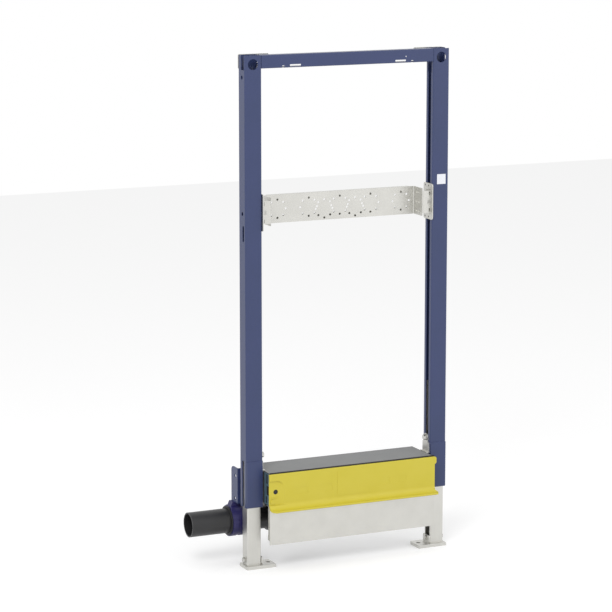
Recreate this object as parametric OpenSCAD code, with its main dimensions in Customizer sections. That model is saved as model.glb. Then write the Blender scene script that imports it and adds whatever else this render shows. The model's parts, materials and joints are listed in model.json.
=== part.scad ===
/* [Frame] */
// Overall width across the two posts
frame_w = 500; // [460:10:560]
// Height of the post tops above the floor, with the legs as pictured
frame_h = 1150; // [1120:10:1300]
// Width of a post, seen from the front
post_w = 40; // [38:1:44]
// Depth of a post, front to back
post_d = 34; // [34:1:38]
// Sheet thickness of the posts
post_t = 2; // [1.5:0.5:2]
// Height of the post ends above the floor
post_z = 141; // [135:1:150]
// Height of the top rail
rail_h = 29; // [27:1:34]
// Depth of the top rail
rail_d = 20; // [18:1:24]
// Height of the blue sleeve at the lower end of each post
sleeve_h = 106; // [90:2:120]

/* [Legs] */
// Width of a telescopic leg
leg_w = 33.6; // [30:0.2:34]
// Depth of a telescopic leg
leg_d = 29; // [26:0.2:29]
// Length of a telescopic leg
leg_l = 380; // [340:10:420]
// Length of a foot plate
foot_l = 71; // [60:1:80]
// Depth of a foot plate
foot_w = 45; // [40:1:56]
// Thickness of a foot plate
foot_t = 7.5; // [5:0.5:9]
// Diameter of the floor bolt hole
foot_hole_d = 10.5; // [8.5:0.5:12]

/* [Fitting plate] */
// Height of the middle of the fitting plate above the floor
plate_z = 805; // [700:5:900]
// Height of the main strip of the fitting plate
plate_h = 63; // [56:1:70]
// Distance from one tap ring to the next
ring_pitch = 76.5; // [70:0.5:80]
// Diameter of the circle that the holes of a ring lie on
ring_d = 41; // [36:1:44]
// Diameter of a hole of a ring
ring_hole_d = 5; // [4:0.5:6]

/* [Drain] */
// Height of the top of the drain box above the floor
drain_top = 222; // [216:1:230]
// Width of the drain box
drain_w = 414; // [380:2:414]
// Height of the lower edge of the front sheet above the floor
front_sheet_z = 58.5; // [55:0.5:70]
// Outer diameter of the outlet pipe
pipe_d = 56; // [50:1:56]
// Wall thickness of the outlet pipe
pipe_t = 3; // [2.5:0.5:4]
// Height of the axis of the outlet pipe above the floor
pipe_z = 98; // [95:1:105]
// Distance from the middle of the frame to the open end of the pipe
pipe_reach = 360; // [340:2:400]

/* [Hidden] */
$fn = 48;

blue = "#3c4a70";
zinc = "#cfcdc8";
black = "#2c2c2c";
yellow = "#cbbf42";

// The origin lies under the middle of the left leg, on the underside of its foot plate
leg_x = frame_w / 2 - post_w / 2;
leg_y = post_d / 2;

// Posts
lip = 10;
fold_r = 2.5;
corner_hole_d = 24;
corner_hole_drop = 19.5;
side_hole_d = 9;
side_hole_y = 15.6;
side_hole_drops = [48, 347];
top_slot_w = 16;
top_slot_drop = 31.5;
long_slot_z = frame_h - 391;
long_slot_l = 36;
long_slot_w = 8;
entry_w = 18;
entry_l = 26;
entry_drop = 28;
guide_slot_y = 10;
guide_slot_w = 13;
sleeve_t = 2.5;
sleeve_w = 38;

// Top rail
rail_slot_x = 128.5;
rail_slot_l = 27;
rail_slot_h = 5;
rail_notch_x = 157.5;
rail_notch_w = 6;

// Wall anchors
anchor_l = 72;
anchor_t = 3;
anchor_h = 32;
anchor_slot_w = 9;

// Legs and feet
leg_t = 2;
leg_gap = (post_d - leg_d) / 2;
leg_front_lip = 3.5;
leg_back_lip = 5.5;
foot_front = 6.8;
foot_hole_in = 10.5;
foot_bolt_z = 18.5;
foot_bolt_d = 8;
tongue_w = 22;
tongue_h = 18;
tongue_t = 3;

// Fitting plate
plate_t = 2;
plate_back = 46;
neck_h = 51;
neck_front = 2;
joggle_x = 188;
flange_h = 82;
flange_front = 5;
flange_back = 38;
flange_gap = 0.3;
bend_r = 4;
hem_d = 10;
hem_lip = 15;
bead_r = 4;
bead_depth = 1.1;
bead_pitch = 21;
web_slot_x = 204.6;
web_slot_z = 19;
plate_bolt_y = leg_y;
ring_holes = 8;
low_ring_drop = 6;

// Drain unit
box_front = -28;
box_back = 80;
box_h = 74;
box_bottom = drain_top - box_h;
box_x = drain_w / 2 - 3;
seal_t = 1.5;
seal_h = 2.4;
side_plate_t = 1.5;
cover_t = 4;
cover_face = -34;
cover_back = cover_face + cover_t;
cover_left = -208.5;
cover_right = 205;
cove_r = 14;
cove_z = 155;
lip_bottom = 136.5;
lip_front = -53;
lip_t = 4.5;
lip_left_r = 18.5;
lip_right_r = 8;
lip_right = 208.4;
recess_top = 207;
recess_bottom = 150;
recess_d = 2.8;
recess_right = -173;
cover_hole_x = -192.3;
cover_hole_z = 180.5;
cover_hole_d = 11;
panel_proud = 0.4;
sheet_t = 1.5;
sheet_w = 412;
sheet_return = 9;
sheet_tab = 11;
sheet_tab_h = 12;
sheet_hem = 18;
bracket_foot = 8;

// Outlet
pipe_y = 74;
pipe_inner_x = -150;
spigot_l = 88;
neck_d = pipe_d - 1.2;
trap_x = -84;
trap_y = 36;
trap_d = 84;
trap_cup_d = 74;
trap_bottom = 63;
socket_d = 64;
nut_w = 20;
clamp_x = -246;
clamp_w = 36;
clamp_d = 72;
clamp_top = 142;
ear_w = 20;
chamfer_x = 8;
chamfer_z = 18;
liner_d = 62;
liner_w = 42;
liner_lip_d = 66;
bracket_x = -250;
bracket_t = 2.5;
bracket_back = 81.5;
bracket_top = 223;
bracket_step = 7;
bracket_fold_y = 49;
fit = 0.2;

function inner_x() = frame_w / 2 - post_w;

module placed() {
    translate([leg_x, -leg_y, 0]) children();
}

// Everything that comes in a left and a right hand is drawn on the left and mirrored
module on_right() {
    mirror([1, 0, 0]) children();
}

module rounded(size, r) {
    union() {
        translate([r, 0]) square([size.x - 2 * r, size.y]);
        translate([0, r]) square([size.x, size.y - 2 * r]);
        for (x = [r, size.x - r], y = [r, size.y - r]) translate([x, y]) circle(r);
    }
}

// Slot of a given overall length along Y, centred, with round ends
module slot(length, width) {
    square([width, length - width], center = true);
    for (s = [-1, 1]) translate([0, s * (length - width) / 2]) circle(d = width);
}

// Turns a flat outline drawn in Y and Z so that it can cut or form something along X
module along_x(length) {
    rotate([90, 0, 90]) linear_extrude(length) children();
}

// Turns a flat outline drawn in X and Z so that it runs along Y, from front to back
module along_y(length) {
    translate([0, length, 0]) rotate([90, 0, 0]) linear_extrude(length) children();
}

module bolt_head(d, h) {
    cylinder(d = d, h = h, $fn = 6);
}

// Post: a folded channel whose mouth faces the middle of the frame

module post_profile() {
    difference() {
        rounded([post_w, post_d], fold_r);
        translate([post_t, post_t]) square([post_w - 2 * post_t, post_d - 2 * post_t]);
        translate([post_w - post_t - 1, lip]) square([post_t + 2, post_d - 2 * lip]);
    }
}

module post_cuts() {
    // Big round hole in the front, near the top
    translate([post_w / 2, -1, frame_h - corner_hole_drop])
        rotate([-90, 0, 0]) cylinder(d = corner_hole_d, h = post_t + 2);
    // Slot in the outer side, open at the top
    translate([-1, side_hole_y - top_slot_w / 2 - 3.6, frame_h - top_slot_drop])
        cube([post_t + 2, top_slot_w, top_slot_drop + 1]);
    // Round holes in the outer side
    for (drop = side_hole_drops)
        translate([-1, side_hole_y, frame_h - drop])
            rotate([0, 90, 0]) cylinder(d = side_hole_d, h = post_t + 2);
    // Long slot in the outer side
    translate([-1, 11, long_slot_z]) along_x(post_t + 2) slot(long_slot_l, long_slot_w);
    // Wider mouth where a channel nut is put in
    translate([post_w - post_t - 1, (post_d - entry_w) / 2, frame_h - entry_drop - entry_l])
        cube([post_t + 2, entry_w, entry_l]);
    // Open slot in the outer side, beside the sleeve
    translate([-1, guide_slot_y, post_z - 1]) cube([post_t + 2, guide_slot_w, sleeve_h + 1]);
}

module post() {
    translate([-frame_w / 2, 0, 0]) difference() {
        translate([0, 0, post_z]) linear_extrude(frame_h - post_z) post_profile();
        post_cuts();
    }
}

module left_post() {
    color(blue) placed() post();
}

module right_post() {
    color(blue) placed() on_right() post();
}

module rail_profile() {
    difference() {
        rounded([rail_d + fold_r, rail_h], fold_r);
        translate([post_t, post_t]) square([rail_d + fold_r, rail_h - 2 * post_t]);
        translate([rail_d, -1]) square([fold_r + 1, rail_h + 2]);
    }
}

module top_rail() {
    color(blue) placed() difference() {
        translate([-inner_x(), 0, frame_h - rail_h]) along_x(2 * inner_x()) rail_profile();
        for (s = [-1, 1]) {
            translate([s * rail_slot_x - rail_slot_l / 2, -1, frame_h - rail_h + post_t])
                cube([rail_slot_l, post_t + 2, rail_slot_h]);
            translate([s * rail_notch_x - rail_notch_w / 2, -1, frame_h - rail_h - 1])
                cube([rail_notch_w, 8, rail_notch_w]);
        }
        // Small hanging hole from the coating line
        translate([142, -1, frame_h - 15]) rotate([-90, 0, 0]) cylinder(d = 3, h = post_t + 2);
    }
}

// Sleeve: a doubled sheet on the front of the post, with bevelled ends
module sleeve() {
    bevel = 1.5;
    translate([-frame_w / 2 + (post_w - sleeve_w) / 2, 0, post_z]) along_x(sleeve_w)
        polygon([[0, 0], [-sleeve_t + bevel, 0], [-sleeve_t, bevel],
                 [-sleeve_t, sleeve_h - bevel], [-sleeve_t + bevel, sleeve_h], [0, sleeve_h]]);
}

module left_sleeve() {
    color(blue) placed() sleeve();
}

module right_sleeve() {
    color(blue) placed() on_right() sleeve();
}

// Wall anchor: a zinc strip on the back of the post and rail, with a slot for a wall bolt
module wall_anchor() {
    translate([-frame_w / 2, post_d, frame_h - anchor_h + 1]) difference() {
        along_y(anchor_t) rounded([anchor_l, anchor_h], 3);
        translate([anchor_l - 18, -1, anchor_h / 2]) along_y(anchor_t + 2)
            rotate(90) slot(24, anchor_slot_w);
        translate([post_w / 2, -1, anchor_h / 2]) rotate([-90, 0, 0])
            cylinder(d = 8.4, h = anchor_t + 2);
    }
}

module left_wall_anchor() {
    color(zinc) placed() wall_anchor();
}

module right_wall_anchor() {
    color(zinc) placed() on_right() wall_anchor();
}

// Anchor bolt: hexagon head behind the strip, shank through the post's back wall
module anchor_bolt() {
    translate([-leg_x, post_d + anchor_t, frame_h - anchor_h / 2 + 1]) rotate([-90, 0, 0])
        bolt_head(13, 5);
}

module left_anchor_bolt() {
    color(zinc) placed() anchor_bolt();
}

module right_anchor_bolt() {
    color(zinc) placed() on_right() anchor_bolt();
}

// Height mark: a small plain plate on the front of the right post
module height_mark() {
    color("#e6e8ee") placed() translate([221.7, -0.6, frame_h - 306]) cube([21.6, 0.6, 22.6]);
}

// Leg: a channel that slides in the post, with its mouth facing the middle of the frame
module leg() {
    translate([-leg_x, 0, 0]) difference() {
        translate([-leg_w / 2, leg_gap, foot_t]) linear_extrude(leg_l) difference() {
            rounded([leg_w, leg_d], 3);
            translate([leg_t, leg_t]) rounded([leg_w - 2 * leg_t, leg_d - 2 * leg_t], 1);
            translate([leg_w - leg_t - 1, leg_front_lip])
                square([leg_t + 2, leg_d - leg_front_lip - leg_back_lip]);
        }
        translate([-leg_w, leg_y, foot_bolt_z]) rotate([0, 90, 0])
            cylinder(d = foot_bolt_d + 0.4, h = leg_w);
    }
}

module left_leg() {
    color(zinc) placed() leg();
}

module right_leg() {
    color(zinc) placed() on_right() leg();
}

// Foot: a thick plate with a bolt hole at its inner end and two tongues that hold the leg
module foot() {
    inner = leg_w / 2 - leg_t - fit;
    difference() {
        union() {
            translate([-frame_w / 2 - 1, -foot_front, 0]) linear_extrude(foot_t)
                rounded([foot_l, foot_w], 2);
            // Tongue inside the leg, against its outer wall
            translate([-leg_x - inner, leg_y - tongue_w / 2, foot_t]) cube([tongue_t, tongue_w, tongue_h]);
            // Tongue on the mouth of the leg
            translate([-leg_x + leg_w / 2 + fit, leg_y, foot_t]) along_x(tongue_t)
                translate([-leg_d / 2, 0]) rounded([leg_d, tongue_h], 3);
        }
        translate([-frame_w / 2 - 1 + foot_l - foot_hole_in, leg_y, -1])
            cylinder(d = foot_hole_d, h = foot_t + 2);
        translate([-leg_x - leg_w, leg_y, foot_bolt_z]) rotate([0, 90, 0])
            cylinder(d = foot_bolt_d + 0.4, h = 2 * leg_w);
    }
}

module left_foot() {
    color(zinc) placed() foot();
}

module right_foot() {
    color(zinc) placed() on_right() foot();
}

// Foot bolt: runs across the leg and both tongues, with its head outside and its nut inside
module foot_bolt() {
    grip = leg_w + fit + tongue_t;
    translate([-leg_x - leg_w / 2, leg_y, foot_bolt_z]) rotate([0, 90, 0]) {
        translate([0, 0, -5]) bolt_head(13, 5);
        cylinder(d = foot_bolt_d, h = grip + 3);
        translate([0, 0, grip]) bolt_head(12, 2.5);
    }
}

module left_foot_bolt() {
    color(zinc) placed() foot_bolt();
}

module right_foot_bolt() {
    color(zinc) placed() on_right() foot_bolt();
}

// Fitting plate: a folded strip set back between two webs, with a flange on each post

// Quarter bend of the sheet, from the direction of +X to the direction of +Y
module bend(r) {
    intersection() {
        difference() {
            circle(r);
            circle(r - plate_t);
        }
        square(r);
    }
}

module half_plan() {
    edge = inner_x() - flange_gap;
    // Main strip, at the back
    translate([-joggle_x + bend_r, plate_back - plate_t]) square([joggle_x - bend_r + 1, plate_t]);
    translate([-joggle_x + bend_r, plate_back - bend_r]) rotate(90) bend(bend_r);
    // Joggle, running forward
    translate([-joggle_x, neck_front + bend_r])
        square([plate_t, plate_back - neck_front - 2 * bend_r]);
    translate([-joggle_x - bend_r + plate_t, neck_front + bend_r]) rotate(-90) bend(bend_r);
    // Web, running to the post
    translate([-edge + plate_t, neck_front])
        square([edge - plate_t - joggle_x - bend_r + plate_t, plate_t]);
}

module plate_plan() {
    half_plan();
    mirror([1, 0]) half_plan();
}

module flange() {
    translate([-inner_x() + flange_gap, 0, plate_z]) along_x(plate_t) difference() {
        translate([-flange_front, -flange_h / 2]) rounded([flange_back + flange_front, flange_h], 5);
        for (y = [14, 30], s = [-1, 1]) translate([y, s * (flange_h / 2 - 5.5)]) circle(d = 4);
    }
}

module ring() {
    for (i = [0 : ring_holes - 1]) rotate(i * 360 / ring_holes)
        translate([ring_d / 2, 0]) circle(d = ring_hole_d);
}

module ring_pattern() {
    for (i = [-2 : 2]) translate([i * ring_pitch, 0]) ring();
    for (s = [-1, 1]) translate([s * ring_pitch / 2, -low_ring_drop]) ring();
}

// Edge of the main strip, folded back and then towards its middle
module hem() {
    translate([-joggle_x + 12, plate_back, plate_h / 2]) along_x(2 * joggle_x - 24)
        polygon([[0, 0], [hem_d, 0], [hem_d, -hem_lip], [hem_d - plate_t, -hem_lip],
                 [hem_d - plate_t, -plate_t], [0, -plate_t]]);
}

// Long shallow dents across the joggle, which stiffen its bend
module joggle_beads() {
    for (i = [-1 : 1])
        translate([-joggle_x + plate_t + bead_r - bead_depth, plate_back - 12, plate_z + i * bead_pitch])
            rotate([90, 0, 0]) cylinder(r = bead_r, h = 22);
}

module fitting_plate() {
    color(zinc) placed() difference() {
        union() {
            translate([0, 0, plate_z]) intersection() {
                linear_extrude(plate_h, center = true) plate_plan();
                union() {
                    cube([2 * joggle_x - 1, 200, plate_h], center = true);
                    cube([frame_w, 200, neck_h], center = true);
                }
            }
            flange();
            mirror([1, 0, 0]) flange();
            translate([0, 0, plate_z]) {
                hem();
                mirror([0, 0, 1]) hem();
            }
        }
        translate([0, plate_back - plate_t - 1, plate_z]) along_y(plate_t + 2) ring_pattern();
        for (s = [-1, 1]) {
            // Square hole in the web
            translate([s * 203.3 - 4.5, neck_front - 1, plate_z - 4.5]) cube([9, plate_t + 2, 9]);
            // Slots beside the flange
            for (z = [-1, 1]) translate([s * web_slot_x, neck_front - 1, plate_z + z * web_slot_z])
                along_y(plate_t + 2) slot(9, 4);
            // Bolt holes in the flange
            for (z = [-20, 20]) translate([s * inner_x() - 5, plate_bolt_y, plate_z + z])
                rotate([0, 90, 0]) cylinder(d = 8.4, h = 10);
        }
        joggle_beads();
        mirror([1, 0, 0]) joggle_beads();
    }
}

// Plate bolts: heads on the flange, shanks through the post's mouth, nut bar inside the post
module plate_bolts() {
    head_x = -inner_x() + flange_gap + plate_t;
    for (z = [-20, 20]) translate([head_x, plate_bolt_y, plate_z + z]) rotate([0, -90, 0]) {
        translate([0, 0, -5.5]) bolt_head(13, 5.5);
        cylinder(d = 8, h = 12);
    }
    translate([head_x - 11.5, plate_bolt_y - 12, plate_z - 32]) cube([5, 24, 64]);
}

module left_plate_bolt() {
    color(zinc) placed() plate_bolts();
}

module right_plate_bolt() {
    color(zinc) placed() on_right() plate_bolts();
}

// Drain unit

// Points of an arc, from angle a to angle b
function arc(centre, r, a, b, steps = 12) =
    [for (i = [0 : steps]) let (t = a + (b - a) * i / steps) centre + r * [cos(t), sin(t)]];

// Box: a moulded body with bevelled edges at the back and a drain neck below
module drain_box() {
    bevel = 2;
    color("#828282") placed() difference() {
        translate([-box_x, 0, box_bottom]) along_x(2 * box_x)
            polygon([[box_front, 0], [box_back - bevel, 0], [box_back, bevel],
                     [box_back, box_h - bevel], [box_back - bevel, box_h], [box_front, box_h]]);
        // Hand holds in the back
        for (s = [-1, 1]) translate([s * 130 - 35, box_back - 12, box_bottom + 24])
            along_y(13) rounded([70, 26], 6);
    }
}

// Seal: a black skin on the front and both ends of the box, a little higher than its top
module drain_seal() {
    color(black) placed() {
        translate([-box_x - seal_t, cover_back, box_bottom])
            cube([2 * (box_x + seal_t), box_front - cover_back, box_h + seal_h]);
        for (s = [0, 1]) mirror([s, 0, 0])
            translate([-box_x - seal_t, box_front, box_bottom]) cube([seal_t, 30, box_h]);
    }
}

// Cover: a moulded shell whose lower edge sweeps forward in a cove and ends in a beaded lip

module cover_profile() {
    cove = [cover_face - cove_r, cove_z];
    nose_r = lip_t / 2;
    nose = [lip_front + nose_r, lip_bottom + nose_r];
    polygon(concat(
        arc([cover_face + 2, drain_top - 2.5], 2, 90, 180),
        arc(cove, cove_r, 0, -90),
        arc(nose, nose_r, 90, 270),
        arc(cove, cove_r + cover_t, -90, 0),
        [[cover_back, drain_top - 0.5]]));
}

// The cover seen from above
module cover_plan() {
    translate([cover_left, cover_face - 2]) square([cover_right - cover_left, cover_t + 3]);
    translate([cover_left + lip_left_r, lip_front])
        square([lip_right - lip_right_r - cover_left - lip_left_r, cover_face - lip_front]);
    translate([cover_left + lip_left_r, lip_front + lip_left_r]) circle(lip_left_r);
    translate([lip_right - lip_right_r, lip_front + lip_right_r]) circle(lip_right_r);
}

// Sunk corner at the left end: round at its top right, with a sloping right side
module cover_recess() {
    w = recess_right - cover_left;
    h = recess_top - recess_bottom;
    round_r = 16;
    intersection() {
        translate([0, 0, recess_bottom]) linear_extrude(h)
            polygon([[cover_left - 1, cover_face - 1], [recess_right + 3, cover_face - 1],
                     [recess_right - 9, cover_face + recess_d], [cover_left - 1, cover_face + recess_d]]);
        translate([cover_left - 1, cover_face - 2, recess_bottom - 1]) along_y(10) union() {
            square([w + 5, h - round_r]);
            square([w - round_r, h]);
            translate([w - round_r, h - round_r]) circle(round_r);
        }
    }
}

module cover_marks() {
    floor_y = cover_face + recess_d;
    // Round boss and short rib in the sunk corner
    translate([-199.5, floor_y - 1.6, 158]) rotate([-90, 0, 0]) cylinder(d = 11, h = 1.8);
    translate([-206, floor_y - 1.2, 166]) along_y(1.4) rounded([17, 2.4], 1);
    // Plain raised panel in the middle
    translate([-41, cover_face - panel_proud, 157]) along_y(panel_proud + 0.2) rounded([78, 58], 3);
    // Ear at the top right corner
    translate([cover_right - 8, cover_face, 205]) along_y(cover_t) rounded([12.3, 16.5], 4);
}

module drain_cover() {
    color(yellow) placed() difference() {
        union() {
            difference() {
                intersection() {
                    translate([cover_left - 1, 0, 0]) along_x(lip_right - cover_left + 2) cover_profile();
                    linear_extrude(drain_top + 1) cover_plan();
                }
                cover_recess();
            }
            cover_marks();
        }
        translate([cover_hole_x, cover_face - 1, cover_hole_z])
            rotate([-90, 0, 0]) cylinder(d = cover_hole_d, h = cover_t + 2);
        // Shallow grip pads
        for (x = [-128, -68, 76, 118]) translate([x - 14, cover_face - 1, 172])
            along_y(1.5) rounded([28, 15], 3);
    }
}

// Front sheet: hangs from a fold under the box, with a narrow return and a small tab at each end
module front_sheet() {
    tab_bottom = front_sheet_z + 10;
    color(zinc) placed() {
        translate([-sheet_w / 2, cover_back, front_sheet_z])
            cube([sheet_w, sheet_t, box_bottom - front_sheet_z]);
        translate([-sheet_w / 2, cover_back, box_bottom - sheet_t]) cube([sheet_w, sheet_hem, sheet_t]);
        for (s = [0, 1]) mirror([s, 0, 0]) translate([-sheet_w / 2, cover_back, 0]) {
            translate([0, 0, tab_bottom]) cube([sheet_t, sheet_return, box_bottom - tab_bottom]);
            translate([0, 0, tab_bottom]) cube([sheet_t, sheet_tab, sheet_tab_h]);
        }
    }
}

// Side plate: a thin moulded grid over the seal, with three windows
module side_plate() {
    translate([-box_x - seal_t - side_plate_t, 0, box_bottom]) along_x(side_plate_t) difference() {
        translate([cover_back, 2]) square([28, box_h - 3]);
        translate([-20, 49]) square([10, 22]);
        translate([-27, 24]) square([15, 21]);
        translate([-17, 5]) square([9, 15]);
    }
}

module left_side_plate() {
    color("#54707c") placed() side_plate();
}

module right_side_plate() {
    color("#54707c") placed() on_right() side_plate();
}

// Drain bracket: an angle on the box top whose round ear is bolted to the mouth of the post
module drain_bracket() {
    ear_y = leg_y;
    ear_z = 35;
    ear_r = 9;
    translate([-inner_x(), 0, drain_top]) difference() {
        union() {
            along_x(2.5) {
                translate([3, 0]) square([30, 24]);
                translate([ear_y - ear_r, 20]) square([2 * ear_r, ear_z - 20]);
                translate([ear_y, ear_z]) circle(ear_r);
            }
            translate([0, 3, 0]) cube([bracket_foot, 30, 2.5]);
        }
        translate([-1, ear_y, ear_z]) rotate([0, 90, 0]) cylinder(d = 8.4, h = 5);
    }
}

module left_drain_bracket() {
    color(zinc) placed() drain_bracket();
}

module right_drain_bracket() {
    color(zinc) placed() on_right() drain_bracket();
}

// Drain bolt: washer and hexagon head on the bracket
module drain_bolt() {
    translate([-inner_x() + 2.5, leg_y, drain_top + 35]) rotate([0, 90, 0]) {
        cylinder(d = 16, h = 1.5);
        bolt_head(13, 6.5);
    }
}

module left_drain_bolt() {
    color(zinc) placed() drain_bolt();
}

module right_drain_bolt() {
    color(zinc) placed() on_right() drain_bolt();
}

// Trap: a round pot under the box with a screwed cup below and a socket for the pipe

// Half outline of the pot, its union nut and the flange under the box
module pot_outline() {
    pot_h = box_bottom - trap_bottom;
    pot_r = trap_d / 2;
    cup_r = trap_cup_d / 2;
    polygon([[0, 0], [cup_r - 8, 0], [cup_r, 8], [cup_r, 30], [pot_r + 2.5, 30], [pot_r + 2.5, 44],
             [pot_r, 44], [pot_r, pot_h - 5], [pot_r + 4, pot_h - 5], [pot_r + 4, pot_h], [0, pot_h]]);
}

module trap_body() {
    color(black) placed() difference() {
        union() {
            translate([trap_x, trap_y, trap_bottom]) rotate_extrude() pot_outline();
            // Grip ribs of the union nut, all round except beside the socket
            for (a = [-160 : 20 : 60]) translate([trap_x, trap_y, trap_bottom + 31]) rotate(a)
                translate([trap_d / 2, -2, 0]) cube([4, 4, 12]);
            translate([pipe_inner_x, pipe_y, pipe_z]) rotate([0, 90, 0])
                cylinder(d = socket_d - 4, h = trap_x - pipe_inner_x);
            translate([pipe_inner_x - nut_w, pipe_y, pipe_z]) rotate([0, 90, 0])
                cylinder(d = socket_d, h = nut_w + 4);
        }
        translate([pipe_inner_x - nut_w - 1, pipe_y, pipe_z]) rotate([0, 90, 0])
            cylinder(d = neck_d + fit, h = nut_w + 1);
    }
}

// Outlet pipe: its free end is the spigot, and the rest is a little thinner, under the clamp's liner
module outlet_pipe() {
    color(black) placed() translate([-pipe_reach, pipe_y, pipe_z]) rotate([0, 90, 0]) difference() {
        union() {
            cylinder(d = pipe_d, h = spigot_l);
            cylinder(d = neck_d, h = pipe_reach + pipe_inner_x);
        }
        translate([0, 0, -1]) cylinder(d = pipe_d - 2 * pipe_t, h = pipe_reach + pipe_inner_x + 2);
    }
}

// Pipe clamp: a strap with a bevelled block on top, which carries the bracket

module clamp_outline() {
    difference() {
        union() {
            circle(d = clamp_d);
            translate([-ear_w / 2, 0]) square([ear_w, clamp_top - pipe_z]);
            // Joint of the two halves, at the front and the back
            for (s = [-1, 1]) translate([s * (clamp_d / 2 - 3) - 3, -9]) square([6, 18]);
        }
        circle(d = liner_d + fit);
    }
}

module pipe_clamp() {
    color("#2e2a5e") placed() difference() {
        translate([clamp_x - clamp_w / 2, pipe_y, pipe_z]) along_x(clamp_w) clamp_outline();
        for (s = [0, 1]) translate([clamp_x, 0, clamp_top]) mirror([s, 0, 0])
            translate([0, pipe_y - clamp_d / 2, 0]) along_y(clamp_d)
                polygon([[-clamp_w / 2 + chamfer_x, 1], [-clamp_w / 2 + chamfer_x, 0],
                         [-clamp_w / 2, -chamfer_z], [-clamp_w / 2 - 1, -chamfer_z], [-clamp_w / 2 - 1, 1]]);
        // Groove round the strap
        translate([clamp_x - 5, pipe_y, pipe_z]) rotate([0, 90, 0]) difference() {
            cylinder(d = clamp_d + 2, h = 10);
            translate([0, 0, -1]) cylinder(d = clamp_d - 2, h = 12);
            translate([-clamp_d, -ear_w / 2 - 1, -1]) cube([clamp_d, ear_w + 2, 12]);
        }
    }
}

module clamp_liner() {
    color("#3a3a3c") placed() translate([clamp_x, pipe_y, pipe_z]) rotate([0, 90, 0]) difference() {
        union() {
            cylinder(d = liner_d, h = liner_w, center = true);
            for (s = [-1, 1]) translate([0, 0, s * (clamp_w / 2 + (liner_w - clamp_w) / 4)])
                cylinder(d = liner_lip_d, h = (liner_w - clamp_w) / 2, center = true);
        }
        cylinder(d = neck_d + fit, h = liner_w + 2, center = true);
    }
}

// Clamp bracket: a pressed plate from the back of the post to the clamp, set inward beside the post
module clamp_bracket() {
    fold = bracket_fold_y;
    color(blue) placed() difference() {
        union() {
            // Outer plate, with its top back corner rounded
            translate([bracket_x - bracket_t / 2, 0, clamp_top]) along_x(bracket_t) union() {
                translate([fold, 0]) square([bracket_back - fold, bracket_top - clamp_top - 10]);
                translate([fold, 0]) square([bracket_back - fold - 10, bracket_top - clamp_top]);
                translate([bracket_back - 10, bracket_top - clamp_top - 10]) circle(10);
            }
            // Step towards the middle of the frame
            translate([bracket_x - bracket_t / 2, fold - bracket_t, clamp_top])
                cube([bracket_step + bracket_t, bracket_t, bracket_top - clamp_top]);
            // Strip against the back of the post
            translate([bracket_x + bracket_step - bracket_t / 2, post_d, clamp_top])
                cube([bracket_t, fold - post_d, bracket_top - clamp_top]);
            // Fold on the back of the post
            translate([bracket_x + bracket_step - bracket_t / 2, post_d, clamp_top])
                cube([26, bracket_t, bracket_top - clamp_top]);
            // Fold on the block of the clamp
            translate([bracket_x - bracket_t / 2, pipe_y - ear_w / 2, clamp_top])
                cube([18, bracket_back - pipe_y + ear_w / 2, bracket_t]);
        }
        for (place = [[59, 203.6], [62, 151]])
            translate([bracket_x - bracket_t, place[0], place[1]]) rotate([0, 90, 0])
                cylinder(d = 9, h = 2 * bracket_t);
        // Windows in the strip
        for (z = [163, 186]) translate([bracket_x + bracket_step - bracket_t, post_d + bracket_t + 1, z])
            cube([2 * bracket_t, 9, 12]);
        translate([bracket_x + bracket_step + 12, post_d - 1, 205]) rotate([-90, 0, 0])
            cylinder(d = 7, h = 5);
    }
}

left_post();
right_post();
top_rail();
left_sleeve();
right_sleeve();
left_wall_anchor();
right_wall_anchor();
left_anchor_bolt();
right_anchor_bolt();
height_mark();
left_leg();
right_leg();
left_foot();
right_foot();
left_foot_bolt();
right_foot_bolt();
fitting_plate();
left_plate_bolt();
right_plate_bolt();
drain_box();
drain_seal();
drain_cover();
front_sheet();
left_side_plate();
right_side_plate();
left_drain_bracket();
right_drain_bracket();
left_drain_bolt();
right_drain_bolt();
trap_body();
outlet_pipe();
pipe_clamp();
clamp_liner();
clamp_bracket();
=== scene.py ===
import json
from math import radians

import bmesh
import bpy
from mathutils import Matrix, Vector

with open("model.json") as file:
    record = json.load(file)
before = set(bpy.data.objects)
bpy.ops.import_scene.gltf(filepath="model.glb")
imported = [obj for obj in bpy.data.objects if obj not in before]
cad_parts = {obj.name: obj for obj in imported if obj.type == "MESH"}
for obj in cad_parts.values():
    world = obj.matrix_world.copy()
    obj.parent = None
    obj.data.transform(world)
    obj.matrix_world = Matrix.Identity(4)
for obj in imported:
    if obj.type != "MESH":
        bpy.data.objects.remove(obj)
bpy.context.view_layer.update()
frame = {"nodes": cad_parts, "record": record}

MM = 0.001


def linear(hex_colour):
    """An sRGB hex colour as linear RGBA."""
    channels = [int(hex_colour[i:i + 2], 16) / 255 for i in (1, 3, 5)]
    return [c / 12.92 if c <= 0.04045 else ((c + 0.055) / 1.055) ** 2.4 for c in channels] + [1.0]


# Camera, at the photograph's viewing angle

CAMERA_PLACE = (-2.265, -5.202, 1.6345)
CAMERA_AZIMUTH = -24.76
CAMERA_ELEVATION = 10.37
PHOTO_WIDTH_PX = 612
FOCAL_PX = 2612
SENSOR_MM = 36


def place_camera():
    camera = bpy.data.objects.new("camera", bpy.data.cameras.new("camera"))
    camera.location = CAMERA_PLACE
    camera.rotation_euler = (radians(90 - CAMERA_ELEVATION), 0, radians(CAMERA_AZIMUTH))
    camera.data.sensor_width = SENSOR_MM
    camera.data.lens = SENSOR_MM * FOCAL_PX / PHOTO_WIDTH_PX
    camera.data.clip_end = 50
    bpy.context.scene.collection.objects.link(camera)
    bpy.context.scene.camera = camera


# Nodes of the materials

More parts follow.
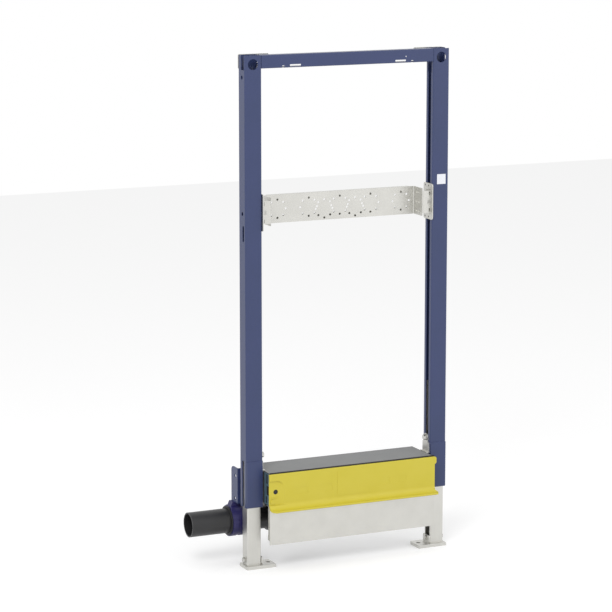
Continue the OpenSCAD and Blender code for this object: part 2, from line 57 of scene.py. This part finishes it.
def add(tree, kind, settings=None, **links):
    """Adds a node. Settings go to its properties or, by socket name, to its inputs; each link is a socket
    that feeds the input of that name, with spaces written as underscores."""
    node = tree.nodes.new(kind)
    for name, value in (settings or {}).items():
        if name in node.inputs:
            node.inputs[name].default_value = value
        else:
            setattr(node, name, value)
    for name, socket in links.items():
        tree.links.new(socket, node.inputs[name.replace("_", " ")])
    return node


def new_finish(name):
    """An empty material, still without its output, and the object's own coordinates in metres."""
    material = bpy.data.materials.new(name)
    material.use_nodes = True
    tree = material.node_tree
    tree.nodes.clear()
    place = add(tree, "ShaderNodeTexCoord").outputs["Object"]
    return material, tree, place


def close_finish(tree, shader):
    add(tree, "ShaderNodeOutputMaterial", Surface=shader.outputs[0])


def per_metre(size_mm):
    """Texture scale at which one cell of a pattern measures size_mm."""
    return 1 / (size_mm * MM)


def powder_coat():
    """Polyester powder coat, sprayed and baked: an even dark blue with a faint orange-peel surface."""
    material, tree, place = new_finish("powder_coat")
    cloud = add(tree, "ShaderNodeTexNoise", {"Scale": per_metre(60), "Detail": 3.0}, Vector=place)
    colour = add(tree, "ShaderNodeMix", {"data_type": "RGBA"}, Factor=cloud.outputs["Fac"])
    colour.inputs[6].default_value = linear("#303c60")
    colour.inputs[7].default_value = linear("#36406a")
    # Orange peel: bumps about 1.2 mm apart
    peel = add(tree, "ShaderNodeTexNoise", {"Scale": per_metre(1.2), "Detail": 2.0}, Vector=place)
    bump = add(tree, "ShaderNodeBump", {"Strength": 0.12, "Distance": 0.05 * MM}, Height=peel.outputs["Fac"])
    shader = add(tree, "ShaderNodeBsdfPrincipled", {"Roughness": 0.36, "IOR": 1.5},
                 Base_Color=colour.outputs[2], Normal=bump.outputs["Normal"])
    close_finish(tree, shader)
    return material


def zinc_sheet():
    """Electro-galvanised steel sheet, cold rolled: pale grey, half matt, with faint rolling lines."""
    material, tree, place = new_finish("zinc_sheet")
    cloud = add(tree, "ShaderNodeTexNoise", {"Scale": per_metre(35), "Detail": 4.0}, Vector=place)
    colour = add(tree, "ShaderNodeMix", {"data_type": "RGBA"}, Factor=cloud.outputs["Fac"])
    colour.inputs[6].default_value = linear("#c6c5c0")
    colour.inputs[7].default_value = linear("#d4d3ce")
    # Rolling lines: 0.8 mm apart and drawn out along the sheet's height
    stretched = add(tree, "ShaderNodeMapping", {"Scale": (1.0, 1.0, 0.03)}, Vector=place)
    lines = add(tree, "ShaderNodeTexNoise", {"Scale": per_metre(0.8), "Detail": 2.0},
                Vector=stretched.outputs["Vector"])
    gloss = add(tree, "ShaderNodeMapRange", {"To Min": 0.34, "To Max": 0.46}, Value=lines.outputs["Fac"])
    bump = add(tree, "ShaderNodeBump", {"Strength": 0.08, "Distance": 0.02 * MM}, Height=lines.outputs["Fac"])
    shader = add(tree, "ShaderNodeBsdfPrincipled", {"Metallic": 1.0}, Base_Color=colour.outputs[2],
                 Roughness=gloss.outputs["Result"], Normal=bump.outputs["Normal"])
    close_finish(tree, shader)
    return material


def zinc_bolt():
    """Zinc-plated steel, cold headed: brighter than the sheet, with a fine grain from the barrel."""
    material, tree, place = new_finish("zinc_bolt")
    grain = add(tree, "ShaderNodeTexNoise", {"Scale": per_metre(0.9), "Detail": 3.0}, Vector=place)
    colour = add(tree, "ShaderNodeMix", {"data_type": "RGBA"}, Factor=grain.outputs["Fac"])
    colour.inputs[6].default_value = linear("#b4b3ae")
    colour.inputs[7].default_value = linear("#d6d5d1")
    bump = add(tree, "ShaderNodeBump", {"Strength": 0.1, "Distance": 0.03 * MM}, Height=grain.outputs["Fac"])
    shader = add(tree, "ShaderNodeBsdfPrincipled", {"Metallic": 1.0, "Roughness": 0.26},
                 Base_Color=colour.outputs[2], Normal=bump.outputs["Normal"])
    close_finish(tree, shader)
    return material


def printed_film():
    """Polyester label film, printed and glued on: white with a light gloss and faint unevenness."""
    material, tree, place = new_finish("printed_film")
    cloud = add(tree, "ShaderNodeTexNoise", {"Scale": per_metre(8), "Detail": 2.0}, Vector=place)
    colour = add(tree, "ShaderNodeMix", {"data_type": "RGBA"}, Factor=cloud.outputs["Fac"])
    colour.inputs[6].default_value = linear("#dfe1e8")
    colour.inputs[7].default_value = linear("#eceef3")
    shader = add(tree, "ShaderNodeBsdfPrincipled", {"Roughness": 0.3, "IOR": 1.5},
                 Base_Color=colour.outputs[2])
    close_finish(tree, shader)
    return material


def moulded(name, dark, light, cell_mm, roughness, grain_depth_mm, ior=1.5):
    """Injection moulded plastic: two near tones in soft clouds, and a spark-eroded grain in the surface."""
    material, tree, place = new_finish(name)
    cloud = add(tree, "ShaderNodeTexNoise", {"Scale": per_metre(45), "Detail": 3.0}, Vector=place)
    colour = add(tree, "ShaderNodeMix", {"data_type": "RGBA"}, Factor=cloud.outputs["Fac"])
    colour.inputs[6].default_value = linear(dark)
    colour.inputs[7].default_value = linear(light)
    grain = add(tree, "ShaderNodeTexNoise", {"Scale": per_metre(cell_mm), "Detail": 3.0}, Vector=place)
    gloss = add(tree, "ShaderNodeMapRange", {"To Min": roughness - 0.05, "To Max": roughness + 0.07},
                Value=grain.outputs["Fac"])
    bump = add(tree, "ShaderNodeBump", {"Strength": 0.25, "Distance": grain_depth_mm * MM},
               Height=grain.outputs["Fac"])
    shader = add(tree, "ShaderNodeBsdfPrincipled", {"IOR": ior}, Base_Color=colour.outputs[2],
                 Roughness=gloss.outputs["Result"], Normal=bump.outputs["Normal"])
    close_finish(tree, shader)
    return material


FINISHES = {
    "blue_powder_coat": powder_coat(),
    "zinc_steel": zinc_sheet(),
    "zinc_bolt": zinc_bolt(),
    "white_label": printed_film(),
    # Polystyrene foam shell of the box, moulded: dull and slightly grained
    "grey_plastic": moulded("box_polypropylene", "#7b7c7d", "#858685", 1.0, 0.62, 0.05),
    "slate_plastic": moulded("side_polypropylene", "#45565f", "#54707c", 1.0, 0.5, 0.04),
    # Polystyrene cover, vacuum formed: opaque yellow with a satin surface
    "yellow_plastic": moulded("cover_polystyrene", "#c9bb35", "#cfc143", 1.6, 0.42, 0.05),
    # Polyethylene pipe, extruded: black with a waxy sheen
    "black_plastic": moulded("pipe_polyethylene", "#1f1f20", "#28282a", 1.2, 0.38, 0.04),
    "violet_blue_plastic": moulded("clamp_polyamide", "#211e52", "#29255c", 1.0, 0.42, 0.04),
    "black_rubber": moulded("liner_rubber", "#1c1c1e", "#242426", 0.7, 0.6, 0.05),
}


def dress_frame():
    """Gives every CAD node the finish of its slot."""
    for part in frame["record"]["subparts"]:
        node = frame["nodes"][part["node"]]
        for place in node.material_slots:
            place.material = FINISHES[part["material_slot"]]


# Studio

FLOOR_SIZE = 12
WORLD_LIGHT = 0.75


def white_for_the_eye(tree, light):
    """Camera, mirror and glass rays see white; what lights the object is the light colour. The light argument is
    not used.
    """
    path = add(tree, "ShaderNodeLightPath")
    eye = add(tree, "ShaderNodeMath", {"operation": "MAXIMUM"})
    tree.links.new(path.outputs["Is Camera Ray"], eye.inputs[0])
    tree.links.new(path.outputs["Is Glossy Ray"], eye.inputs[1])
    both = add(tree, "ShaderNodeMath", {"operation": "MAXIMUM"})
    tree.links.new(eye.outputs[0], both.inputs[0])
    tree.links.new(path.outputs["Is Transmission Ray"], both.inputs[1])
    return both.outputs[0]


def light_world():
    world = bpy.data.worlds.new("studio")
    bpy.context.scene.world = world
    world.use_nodes = True
    tree = world.node_tree
    tree.nodes.clear()
    seen = white_for_the_eye(tree, WORLD_LIGHT)
    strength = add(tree, "ShaderNodeMapRange", {"To Min": WORLD_LIGHT, "To Max": 1.0}, Value=seen)
    shade = add(tree, "ShaderNodeBackground", {"Color": (1, 1, 1, 1)}, Strength=strength.outputs["Result"])
    add(tree, "ShaderNodeOutputWorld", Surface=shade.outputs[0])


def lay_floor():
    mesh = bpy.data.meshes.new("floor")
    half = FLOOR_SIZE / 2
    mesh.from_pydata([(-half, -half, 0), (half, -half, 0), (half, half, 0), (-half, half, 0)], [], [(0, 1, 2, 3)])
    floor = bpy.data.objects.new("floor", mesh)
    bpy.context.scene.collection.objects.link(floor)
    material, tree, place = new_finish("studio_floor")
    seen = white_for_the_eye(tree, 0)
    glow = add(tree, "ShaderNodeMapRange", {"To Min": 0.0, "To Max": 0.3}, Value=seen)
    shader = add(tree, "ShaderNodeBsdfPrincipled", {"Base Color": linear("#e6e6e6"), "Roughness": 0.9,
                                                    "Specular IOR Level": 0.0,
                                                    "Emission Color": (1, 1, 1, 1)},
                 Emission_Strength=glow.outputs["Result"])
    close_finish(tree, shader)
    mesh.materials.append(material)


def hang_lamp(name, place, target, size, power):
    lamp = bpy.data.objects.new(name, bpy.data.lights.new(name, "AREA"))
    lamp.data.shape = "DISK"
    lamp.data.size = size
    lamp.data.energy = power
    lamp.location = place
    lamp.rotation_euler = (Vector(target) - Vector(place)).to_track_quat("-Z", "Y").to_euler()
    bpy.context.scene.collection.objects.link(lamp)


def light_studio():
    middle = (0.23, 0, 0.55)
    hang_lamp("key_lamp", (-2.2, -2.6, 3.2), middle, 1.8, 70)
    hang_lamp("fill_lamp", (2.8, -2.2, 1.6), middle, 2.0, 20)


dress_frame()
place_camera()
light_world()
lay_floor()
light_studio()

view = bpy.context.scene.view_settings
view.view_transform = "Standard"
